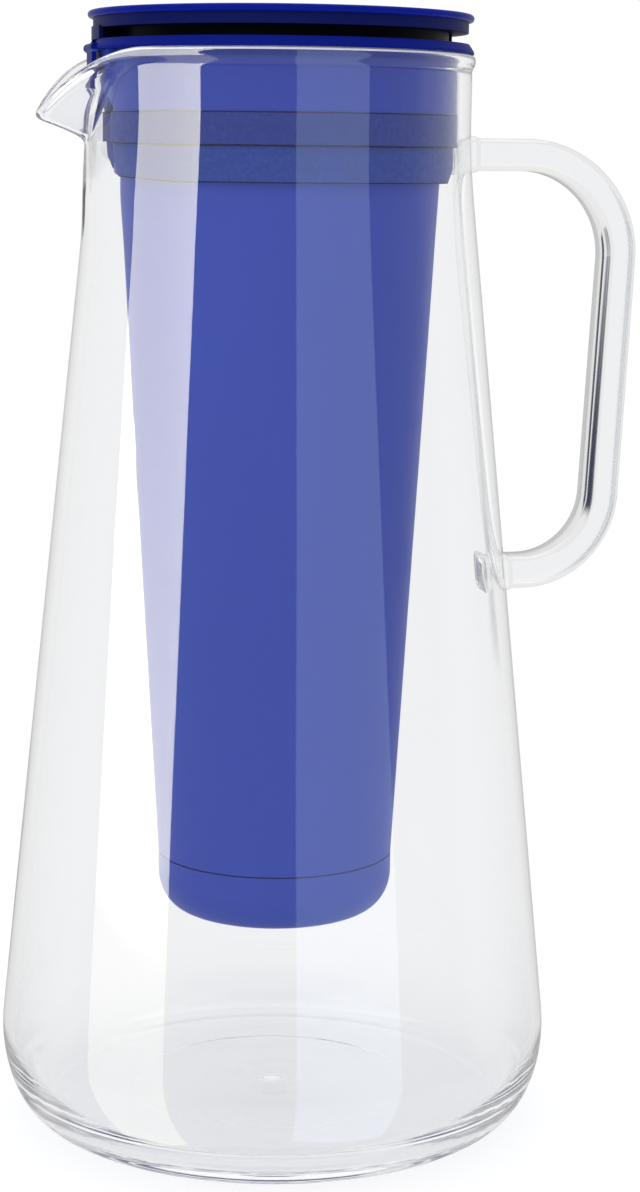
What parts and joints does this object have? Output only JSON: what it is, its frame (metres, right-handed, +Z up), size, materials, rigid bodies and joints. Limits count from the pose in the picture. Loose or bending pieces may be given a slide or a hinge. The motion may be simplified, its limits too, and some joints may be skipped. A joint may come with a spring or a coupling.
{
  "type": "water filter pitcher",
  "caption": "Conical glass pitcher with spout and bar handle, and a blue lift-out filter insert, lid, spout flap, turn-off bottom cap and replaceable filters.",
  "frame": {"origin": "centre of the flat glass base, on the table", "axes": "+Z up along the jug's axis, +X towards the handle, -X towards the spout"},
  "size_m": [0.1622, 0.14, 0.2785],
  "materials": {
    "clear_glass": "clear, fire-polished",
    "handle_glass": "clear, fire-polished",
    "insert_blue": "smooth gloss",
    "collar_blue": "smooth gloss",
    "seal_silicone": "satin",
    "pin_steel": "ground",
    "lid_blue": "high gloss",
    "lid_navy": "gloss",
    "gasket_silicone": "satin",
    "white_plastic": "fine matte",
    "carbon_black": "granular",
    "felt": "felt",
    "o_ring_rubber": "satin",
    "resin": "cast",
    "fibre": "fine fibres",
    "mesh": "woven"
  },
  "bodies": {
    "jug": {"glass_body": "clear_glass", "glass_handle": "handle_glass"},
    "reservoir": {"reservoir_shell": "insert_blue", "collar_ring": "collar_blue", "upper_neck_seal": "seal_silicone", "lower_neck_seal": "seal_silicone", "flap_pin": "pin_steel"},
    "flap": {"spout_flap": "collar_blue"},
    "lid": {"lid_top": "lid_blue", "lid_base": "lid_navy", "lid_gasket": "gasket_silicone"},
    "filter_cap": {"bottom_cap": "insert_blue", "cap_gasket": "gasket_silicone", "carbon_case": "white_plastic", "carbon_case_lid": "white_plastic", "carbon_media": "carbon_black", "felt_pad_lower": "felt", "felt_pad_upper": "felt"},
    "cartridge": {"cartridge_base": "white_plastic", "cartridge_o_ring": "o_ring_rubber", "potting_disc": "resin", "fibre_bundle": "fibre", "inlet_mesh": "mesh", "cartridge_housing": "white_plastic", "cartridge_cap": "insert_blue"}
  },
  "joints": [
    {"name": "reservoir_lift", "type": "slide", "parent": "jug", "child": "reservoir", "axis": [0, 0, 1], "range_m": [0, 0.23]},
    {"name": "lid_lift", "type": "slide", "parent": "reservoir", "child": "lid", "axis": [0, 0, 1], "range_m": [0, 0.05]},
    {"name": "flap_swing", "type": "hinge", "parent": "reservoir", "child": "flap", "pos_m": [-0.0468, 0, 0.2694], "axis": [0, 1, 0], "range_deg": [0, 60]},
    {"name": "cap_turn", "type": "hinge", "parent": "reservoir", "child": "filter_cap", "pos_m": [0, 0, 0.0684], "axis": [0, 0, 1], "range_deg": [0, 40]},
    {"name": "cartridge_lift", "type": "slide", "parent": "reservoir", "child": "cartridge", "axis": [0, 0, 1], "range_m": [0, 0.075]}
  ]
}
